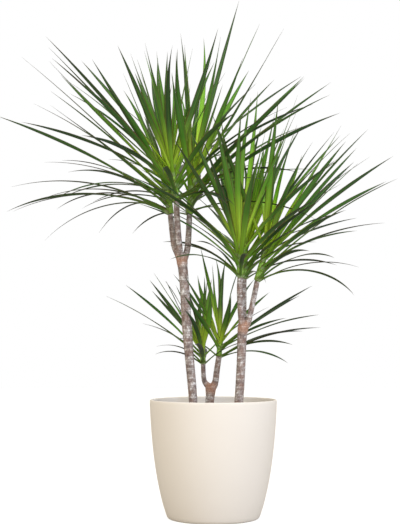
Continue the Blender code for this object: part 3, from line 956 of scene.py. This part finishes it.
def near_rods(points, rods):
    """For each point: the rod it lies on, how far along it, and the angle round it."""
    best = np.full(len(points), np.inf)
    rod_of = np.zeros(len(points), int)
    along = np.zeros(len(points))
    round_it = np.zeros(len(points))
    for index, rod in enumerate(rods):
        line = np.array(soft_run(rod, 6))
        steps = np.linalg.norm(np.diff(line[:, :3], axis=0), axis=1)
        length = np.concatenate([[0], np.cumsum(steps)])
        for k in range(0, len(points), BLOCK):
            part = points[k:k + BLOCK]
            gaps = np.linalg.norm(part[:, None, :] - line[None, :, :3], axis=2)
            nearest = gaps.argmin(axis=1)
            size = gaps.min(axis=1) / line[nearest, 3]
            closer = size < best[k:k + BLOCK]
            spots = np.arange(k, k + len(part))[closer]
            nearest = nearest[closer]
            best[spots] = size[closer]
            rod_of[spots] = index
            away = part[closer] - line[nearest, :3]
            ahead = line[np.minimum(nearest + 1, len(line) - 1), :3] - line[nearest, :3]
            lift = np.einsum("ij,ij->i", away, ahead)
            along[spots] = length[nearest] + lift / (np.linalg.norm(ahead, axis=1) + 1e-9)
            round_it[spots] = np.arctan2(away[:, 1], away[:, 0])
    return rod_of, along, round_it

# %% [markdown]
# Scars lie at uneven distances, closer together on the young branches. A point in a scar moves in, a
# point near the fork moves out, and a fine roughness covers the rest.

# %% Rings and knuckles
RING_DEPTH = 0.00034
RING_WIDTH = 0.0007
RING_TILT = 0.0011
RING_WAVE = 0.0004
TRUNK_RINGS, BRANCH_RINGS = 0.0042, 0.0030    # least distance between two scars
BAND_STEP = 0.00018           # bands between scars differ in radius by this
KNUCKLE_REACH = 0.017
KNUCKLE_SWELL = 0.0022
KNUCKLE_ROUGH = 0.0007
BARK_ROUGH = 0.00012


def ring_places(length, chance, closest):
    places = []
    at = 0.0
    while at < length + 0.02:
        places.append(at)
        at += chance.uniform(closest, closest * 1.9)
    return np.array(places)


def ringed(points, rods, seed):
    """For each point: how deep it lies in a scar, and the tone of its band."""
    rod_of, along, round_it = near_rods(points, rods)
    chance = random.Random(seed)
    ring = np.zeros(len(points))
    band = np.zeros(len(points))
    for index, rod in enumerate(rods):
        mine = rod_of == index
        length = np.linalg.norm(np.diff(np.array(rod)[:, :3], axis=0), axis=1).sum()
        places = ring_places(length, chance, BRANCH_RINGS if index else TRUNK_RINGS)
        tilt = RING_TILT * np.sin(round_it[mine] + chance.uniform(0, 6.28))
        tilt += RING_WAVE * np.sin(3 * round_it[mine] + along[mine] * 90)
        spot = along[mine] + tilt
        after = np.clip(np.searchsorted(places, spot), 1, len(places) - 1)
        gap = np.minimum(np.abs(spot - places[after - 1]), np.abs(places[after] - spot))
        ring[mine] = np.exp(-(gap / RING_WIDTH) ** 2)
        tones = np.array([chance.random() for _ in places])
        band[mine] = tones[after]
    return ring, band


def cane_mesh(name, seed):
    """A ringed cane with swollen knuckles at its forks, and its growing tips."""
    rods = [soft_run(run, 10) for run in CANES[name]]
    mesh = melted(name, rods)
    points = read_points(mesh, "co")
    ring, band = ringed(points, rods, seed)
    fork = np.mean([rod[0][:3] for rod in rods[1:]], axis=0)
    away = np.linalg.norm(points - fork, axis=1)
    knuckle = np.clip(1.25 - away / KNUCKLE_REACH, 0, 1)
    x, y, z = points.T
    rough = np.sin(x * 1900) * np.sin(y * 2100 + 1) * np.sin(z * 1700)
    move = -RING_DEPTH * ring + BAND_STEP * (band - 0.5)
    move += knuckle * (KNUCKLE_ROUGH * rough + KNUCKLE_SWELL) + BARK_ROUGH * rough
    moved = points + read_points(mesh, "normal") * move[:, None]
    mesh.vertices.foreach_set("co", moved.ravel())
    for label, values in (("ring", ring), ("band", band), ("knuckle", knuckle)):
        store(mesh, label, values)
    mesh.update()
    tips = [plain_mesh(f"{name}_tip_{k}", *tip) for k, tip in enumerate(growing_tips(name))]
    return joined(f"{name}_bark", mesh, *tips)


cane_meshes = {name: cane_mesh(name, 40 + k) for k, name in enumerate(CANES)}
print("cane points:", [len(mesh.vertices) for mesh in cane_meshes.values()])

# %% [markdown]
# Old bark is grey and dry, and brown or purplish in the scars. Its mottle runs up to a pale
# grey-white, which is partly real grey bark and partly painted highlight. Each ring has its own tone.
# The three attributes stored above tell the material which part of the bark it is colouring, and noise
# breaks up their edges.

# %% Bark material
RUSTY_BROWN = (0.310, 0.170, 0.120, 1)
SCAR = (0.130, 0.080, 0.068, 1)

bark_material, shader, place = new_material("ringed_bark", 0.82)
scar, band, knuckle = (attribute(tree_of(place), name) for name in ("ring", "band", "knuckle"))
fine = noise(place, 420.0, 5.0, 0.65)
fibres = noise(stretched(place, 1.0, 1.0, 0.28), 330.0, 4.0, 0.6)
mottle = noise(stretched(place, 1.0, 1.0, 0.75), 120.0, 6.0, 0.72)
tone = plus(times(band, 0.10), plus(times(fibres, 0.14), times(mottle, 0.82)))
# the palest stop, a near-white grey, is partly real grey bark and partly painted highlight
bark_with_painted_highlight = ramp(tone, (0.38, 0.110, 0.080, 0.073), (0.50, 0.290, 0.228, 0.205),
           (0.57, 0.450, 0.405, 0.380), (0.66, 0.860, 0.840, 0.820))
blotch = ramp(noise(place, 60.0, 3.0), (0.45, 0.0, 0.0, 0.0), (0.70, 0.55, 0.55, 0.55))
brown = mixed(blotch, bark_with_painted_highlight, RUSTY_BROWN)
lined = mixed(times(scar, mottle, clamp=True), brown, SCAR)
rust = ramp(fine, (0.32, 0.240, 0.085, 0.045), (0.55, 0.600, 0.290, 0.160),
            (0.75, 0.860, 0.620, 0.450))
near_fork = times(knuckle, plus(fine, 0.45), clamp=True)
fill(shader.inputs["Base Color"], mixed(near_fork, lined, rust))
bump(shader, plus(fine, fibres), 0.5, 0.0006)
for name, mesh in cane_meshes.items():
    finished(f"{name}_bark", mesh, bark_material, name)

# %% [markdown]
# ## The leaves
# Each leaf is the same flat blank, bent along its own midrib. A node graph does the bending: it puts
# one copy of the blank on each leaf's point, and moves every vertex to where the midrib, the leaf's
# width at that place and the fold of the blade put it. Two float curves hold the outline and the
# fold, so the shape of all leaves can be changed in one place.

# %% Leaf blank
BLANK_ALONG = 44
BLANK_ACROSS = 6


def blank_leaf():
    """A closed flat strip: x is across (-1 to 1), y along (0 to 1), z 0 above and -1 below."""
    verts, faces = [], []
    wide = BLANK_ACROSS + 1
    under = wide * (BLANK_ALONG + 1)
    for layer in (0.0, -1.0):
        for row in range(BLANK_ALONG + 1):
            verts += [(2 * k / BLANK_ACROSS - 1, row / BLANK_ALONG, layer) for k in range(wide)]
    for row in range(BLANK_ALONG):
        for k in range(BLANK_ACROSS):
            a = row * wide + k
            faces.append((a, a + 1, a + 1 + wide, a + wide))
            faces.append((a + under, a + wide + under, a + 1 + wide + under, a + 1 + under))
        left, right = row * wide, row * wide + BLANK_ACROSS
        faces.append((left, left + wide, left + wide + under, left + under))
        faces.append((right, right + under, right + wide + under, right + wide))
    for k in range(BLANK_ACROSS):
        a = BLANK_ALONG * wide + k
        faces.append((k + 1, k, k + under, k + 1 + under))
        faces.append((a, a + 1, a + 1 + under, a + under))
    return placed("leaf_blank", plain_mesh("leaf_blank", verts, faces))


blank = blank_leaf()
print("blank faces:", len(blank.data.polygons))

# %% [markdown]
# The graph works out the midrib at each place along the leaf as a cubic curve of its four points,
# and the directions ahead, across and up there. The blade is then laid on the midrib: twisted a
# little towards its tip, folded up along the midrib like a gutter, and thinnest at its edges.

# %% Leaf graph
OUTLINE = ((0.0, 0.95), (0.04, 0.95), (0.10, 0.68), (0.22, 0.82), (0.36, 1.0), (0.52, 0.96),
           (0.68, 0.72), (0.83, 0.38), (0.94, 0.13), (1.0, 0.008))
FOLD = ((0.0, 0.50), (0.06, 0.60), (0.20, 0.42), (0.50, 0.24), (1.0, 0.30))
THICK = 0.00075
EDGE_THINNING = 0.68          # the edge is thinner than the midrib by this share
TIP_THINNING = 0.75           # and the tip than the foot


def named(tree, name, kind):
    return new_node(tree, "GeometryNodeInputNamedAttribute", data_type=kind,
                    inputs={"Name": name}).outputs[0]


def stored(tree, geometry, **values):
    """The geometry with values kept on its points, for the material."""
    for name, value in values.items():
        inputs = {"Name": name, "Geometry": geometry, "Value": value}
        geometry = new_node(tree, "GeometryNodeStoreNamedAttribute", inputs=inputs,
                            data_type="FLOAT", domain="POINT").outputs[0]
    return geometry


def midrib(points, t):
    """Place and direction of a cubic curve at t."""
    s = minus(1.0, t)
    ss, tt, st = times(s, s), times(t, t), times(s, t)
    weights = (times(ss, s), times(times(ss, t), 3.0), times(times(tt, s), 3.0), times(tt, t))
    rib = scaled(points[0], weights[0])
    for point, weight in zip(points[1:], weights[1:]):
        rib = vectors("ADD", rib, scaled(point, weight))
    steps = [vectors("SUBTRACT", after, point) for point, after in zip(points, points[1:])]
    ahead = scaled(steps[0], ss)
    for step, weight in zip(steps[1:], (times(st, 2.0), tt)):
        ahead = vectors("ADD", ahead, scaled(step, weight))
    return rib, vectors("NORMALIZE", ahead)


def leaf_graph():
    tree, (leaves_at, thick, paint, _), identifiers = new_graph(
        "bend_leaves", ("Midrib thickness", "Float"), ("Leaf material", "Material"))
    points = new_node(tree, "GeometryNodeMeshToPoints", leaves_at).outputs[0]
    shape = copies_on(tree, points, blank)
    spot = new_node(tree, "GeometryNodeInputPosition").outputs[0]
    across, along, layer = new_node(tree, "ShaderNodeSeparateXYZ", spot).outputs
    shape = stored(tree, shape, across=across, along=along, under=times(layer, -1.0))
    rib, ahead = midrib([named(tree, f"p{k}", "FLOAT_VECTOR") for k in range(4)], along)
    side = named(tree, "side", "FLOAT_VECTOR")
    up = vectors("NORMALIZE", vectors("CROSS_PRODUCT", ahead, side))
    late = times(along, along)
    turn = times(named(tree, "twist", "FLOAT"), late)
    cosine, sine = sums("COSINE", turn), sums("SINE", turn)
    flat = vectors("ADD", scaled(side, cosine), scaled(up, sine))
    rise = vectors("SUBTRACT", scaled(up, cosine), scaled(side, sine))
    width = times(named(tree, "half", "FLOAT"), float_curve(along, OUTLINE))
    edge = sums("ABSOLUTE", across)
    fold = times(times(edge, width), float_curve(along, FOLD))
    thinner = times(minus(1.0, times(edge, EDGE_THINNING)), minus(1.0, times(late, TIP_THINNING)))
    down = times(times(layer, thick), thinner)
    here = vectors("ADD", rib, scaled(flat, times(across, width)))
    here = vectors("ADD", here, scaled(rise, plus(fold, down)))
    moved = new_node(tree, "GeometryNodeSetPosition",
                     inputs={"Geometry": shape, "Position": here})
    painted(tree, moved.outputs[0], paint)
    return tree, identifiers


bend_leaves, bend_inputs = leaf_graph()
print("graph nodes:", len(bend_leaves.nodes))

# %% [markdown]
# A leaf is palest at its foot, where it was wrapped in older leaves. The blade is green with a thin
# red margin, its underside is duller and darker, partly as painted shade, and its tip dries first. The
# newest leaves are the brightest.
# One function makes the material of each age from three greens.

# %% Leaf materials
# greens of each age: foot, blade and end of the leaf
LEAF_GREENS = {
    "drooping": ((0.110, 0.230, 0.022), (0.030, 0.086, 0.014), (0.018, 0.046, 0.019)),
    "outer": ((0.160, 0.340, 0.023), (0.042, 0.138, 0.013), (0.021, 0.066, 0.019)),
    "middle": ((0.290, 0.500, 0.028), (0.074, 0.230, 0.013), (0.031, 0.100, 0.019)),
    "inner": ((0.500, 0.680, 0.050), (0.135, 0.340, 0.017), (0.046, 0.140, 0.019)),
    "heart": ((0.560, 0.700, 0.070), (0.170, 0.370, 0.022), (0.062, 0.165, 0.020)),
}
MARGIN = (0.130, 0.040, 0.022, 1)
DRY = (0.090, 0.060, 0.040, 1)
# the underside's grey-green: partly its real duller colour, partly painted shade
DULL_SHADED_UNDERSIDE = (0.046, 0.080, 0.034, 1)
OLDER = (0.36, 0.46, 0.95, 1)        # the blade's colour times this in the oldest leaves
YOUNGER = (1.25, 1.35, 1.00, 1)      # and times this in the youngest


def leaf_material(age):
    made, shader, place = new_material(f"{age}_leaf_skin", 0.42)
    tree = made.node_tree
    foot, blade, end = LEAF_GREENS[age]
    along, across, under, tone = (attribute(tree, name)
                                  for name in ("along", "across", "under", "tone"))
    edge = sums("ABSOLUTE", across)
    husk = noise(stretched(place, 1.0, 1.0, 0.2), 420.0, 3.0)
    wrapped = ramp(husk, (0.35, 0.240, 0.260, 0.090), (0.46, 0.250, 0.430, 0.080),
                   (0.75, 0.380, 0.500, 0.190))
    green = ramp(along, (0.0, 1, 1, 1), (0.05, *foot), (0.20, *foot), (0.44, *blade),
                 (0.80, *end))
    green = mixed(times(along, 22.0, clamp=True), wrapped, green)
    stripes = new_node(tree, "ShaderNodeCombineXYZ", times(across, 7.0), times(along, 3.0),
                       times(tone, 40.0))
    veins = noise(stripes.outputs[0], 3.2, 3.0)
    streaked = mixed(veins, scaled(green, 0.55), scaled(green, 1.55))
    deep = mixed(1.0, streaked, OLDER, "MULTIPLY")
    fresh = mixed(1.0, streaked, YOUNGER, "MULTIPLY")
    older = times(minus(0.72, tone), 1.8, clamp=True)
    toned = mixed(times(older, past(along, 0.14, 4.0)), fresh, deep)
    rib = minus(1.0, times(edge, 7.0), clamp=True)
    ribbed = mixed(times(rib, 0.35), toned, (*foot, 1))
    # the underside turns duller and darker: partly real, partly painted shade
    with_dull_shaded_underside = mixed(under, ribbed, mixed(0.40, ribbed, DULL_SHADED_UNDERSIDE))
    rimmed = mixed(times(past(edge, 0.72, 3.6), 0.85), with_dull_shaded_underside, MARGIN)
    tipped = mixed(times(past(along, 0.88, 8.0), 0.80), rimmed, DRY)
    fill(shader.inputs["Base Color"], tipped)
    bump(shader, veins, 0.25, 0.0004)
    shader.inputs["Specular IOR Level"].default_value = 0.28
    return made


leaf_materials = {age: leaf_material(age) for age in LEAF_GREENS}
print("leaf materials:", len(leaf_materials))

# %% [markdown]
# The points that carry the leaves hold everything the graph needs: the four points of the midrib,
# the level direction across the blade, half the width, a little twist, and a tone that makes each
# leaf a slightly different green. A real leaf's foot wraps the stem, so the midrib's first point
# moves in and down, and its blade sways a little to one side between its two ends.

# %% Leaf points
CLASP_IN = 0.0036
CLASP_DOWN = 0.0085
SWAY = 0.013
TWIST = 1.5                   # most radians between a leaf's foot and its tip
SMALL_WIDTH = 1.15            # the small crowns' leaves are broader for their length
SMALL_TONE = 0.8              # and a little darker


def clasped(root, foot, axis):
    """The midrib's first point, moved down and in, so that the leaf's foot wraps the stem."""
    out = root - foot - axis * (root - foot).dot(axis)
    return root - out.normalized() * CLASP_IN - axis * CLASP_DOWN


def midrib_points(spine, side, foot, axis, chance):
    """A clasped midrib, bowed a little to one side, with its tip where it was."""
    bow = side * chance.uniform(-SWAY, SWAY)
    return clasped(spine[0], foot, axis), spine[1] + bow * 0.6, spine[2] + bow, spine[3]


def leaf_points(name, grown, foot, axis, chance, small):
    """One point for each leaf of a whorl, with all that the graph reads."""
    mesh = plain_mesh(name, [(0, 0, 0)] * len(grown), [])
    spines = [midrib_points(spine, side, foot, axis, chance) for spine, side, _ in grown]
    columns = {f"p{k}": [spine[k] for spine in spines] for k in range(4)}
    columns["side"] = [leaf[1] for leaf in grown]
    for label, rows in columns.items():
        data = mesh.attributes.new(label, "FLOAT_VECTOR", "POINT").data
        data.foreach_set("vector", np.array([tuple(row) for row in rows], "f").ravel())
    store(mesh, "half", [leaf[2] / 2 * (SMALL_WIDTH if small else 1.0) for leaf in grown])
    store(mesh, "twist", [chance.uniform(-TWIST, TWIST) for _ in grown])
    store(mesh, "tone", [chance.random() * (SMALL_TONE if small else 1.0) for _ in grown])
    return placed(name, mesh)

# %% [markdown]
# A whorl's leaves and the sheath they spring from make one piece, which takes the place of one CAD
# node. The sheath is a little slimmer than the CAD's collar, so that the wrapping feet cover it.

# %% Whorls
SHEATH_INSET = 0.0012

for index, crown in enumerate(CROWNS):
    foot, axis, _ = crown_frame(crown)
    rows = WHORLS[crown[5]]
    for age, row in enumerate(rows):
        node = f"{crown[0]}_{row[0]}_leaves"
        chance = random.Random(900 + 10 * index + age)
        points = leaf_points(f"{node}_points", leaves[node], foot, axis, chance,
                             crown[5] == "small")
        skin = leaf_materials[row[0]]
        blades = run_graph(points, bend_leaves, bend_inputs, THICK, skin)
        low, high, radius = bands[crown[0], age]
        ring = collar(foot, axis, low, high, radius - SHEATH_INSET, age < len(rows) - 1)
        piece_name = f"{crown[0]}_{row[0]}_foliage"
        mesh = joined(piece_name, plain_mesh(f"{node}_sheath", *ring), blades)
        finished(piece_name, mesh, skin, node)
bpy.data.objects.remove(blank, do_unlink=True)

# %% [markdown]
# ## Studio
# The plant stands on a white floor in an even white room, with one soft window-like light in front
# and to the right. A lit floor would never be quite white, so it glows for the camera only, and
# throws no extra light on the plant.

# %% Floor and room
FLOOR_SIZE = 14
FLOOR_COLOUR = (0.42, 0.40, 0.37, 1)
FLOOR_GLOW = 0.78
ROOM_COLOUR = (1.0, 0.94, 0.83, 1)
ROOM_LIGHT = 0.86
WHITE = (1, 1, 1, 1)

bpy.ops.mesh.primitive_plane_add(size=FLOOR_SIZE, location=(0, 0, -0.0002))
floor = bpy.context.object
floor.name = "studio_floor"
floor_material, shader, _ = new_material("white_floor", 0.9)
shader.inputs["Base Color"].default_value = FLOOR_COLOUR
shader.inputs["Specular IOR Level"].default_value = 0.0
shader.inputs["Emission Color"].default_value = WHITE
seen = new_node(floor_material.node_tree, "ShaderNodeLightPath").outputs["Is Camera Ray"]
fill(shader.inputs["Emission Strength"], times(seen, FLOOR_GLOW))
floor.data.materials.append(floor_material)

world = bpy.data.worlds.new("studio")
bpy.context.scene.world = world
world.use_nodes = True
tree = world.node_tree
tree.nodes.clear()
seen = new_node(tree, "ShaderNodeLightPath").outputs["Is Camera Ray"]
room = new_node(tree, "ShaderNodeBackground", ROOM_COLOUR, ROOM_LIGHT)
backdrop = new_node(tree, "ShaderNodeBackground", WHITE, 1.0)
both = new_node(tree, "ShaderNodeMixShader", seen, room.outputs[0], backdrop.outputs[0])
new_node(tree, "ShaderNodeOutputWorld", both.outputs[0])
print("floor and room ready")

# %% [markdown]
# A large cool light, like a window, comes from the front right, and two weak warm ones fill the
# shadows. The camera stands low and far away with a long lens, so that the pot hardly tapers in it.

# %% Lights and camera
def facing(place, target):
    return (Vector(target) - Vector(place)).to_track_quat("-Z", "Y").to_euler()


def area_light(name, place, target, size, power, colour):
    lamp = bpy.data.lights.new(name, "AREA")
    lamp.shape = "RECTANGLE"
    lamp.size, lamp.size_y = size
    lamp.energy = power
    lamp.color = colour
    made = placed(name, lamp)
    made.location = place
    made.rotation_euler = facing(place, target)


# place, what it points at, width and height, watts, colour
area_light("window", (1.9, -2.2, 1.7), (0, 0, 0.6), (1.6, 1.6), 54, (0.64, 0.76, 1.0))
area_light("bounce", (-0.5, -3.2, 1.15), (0, 0, 0.45), (2.0, 1.2), 10, (1.0, 0.93, 0.84))
area_light("ceiling", (-0.9, -1.9, 2.3), (0, 0, 0.4), (1.6, 1.6), 22, (1.0, 0.97, 0.92))

CAMERA_PLACE = (-0.0313, -2.8, 0.42)
CAMERA_AIM = (-0.0313, 0.0, 0.601)
camera = bpy.data.cameras.new("camera")
camera.lens = 81.07
camera.sensor_width = 36.0
eye = placed("camera", camera)
eye.location = CAMERA_PLACE
eye.rotation_euler = facing(CAMERA_PLACE, CAMERA_AIM)
bpy.context.scene.camera = eye
bpy.context.scene.view_settings.view_transform = "Standard"
print("camera at", CAMERA_PLACE)
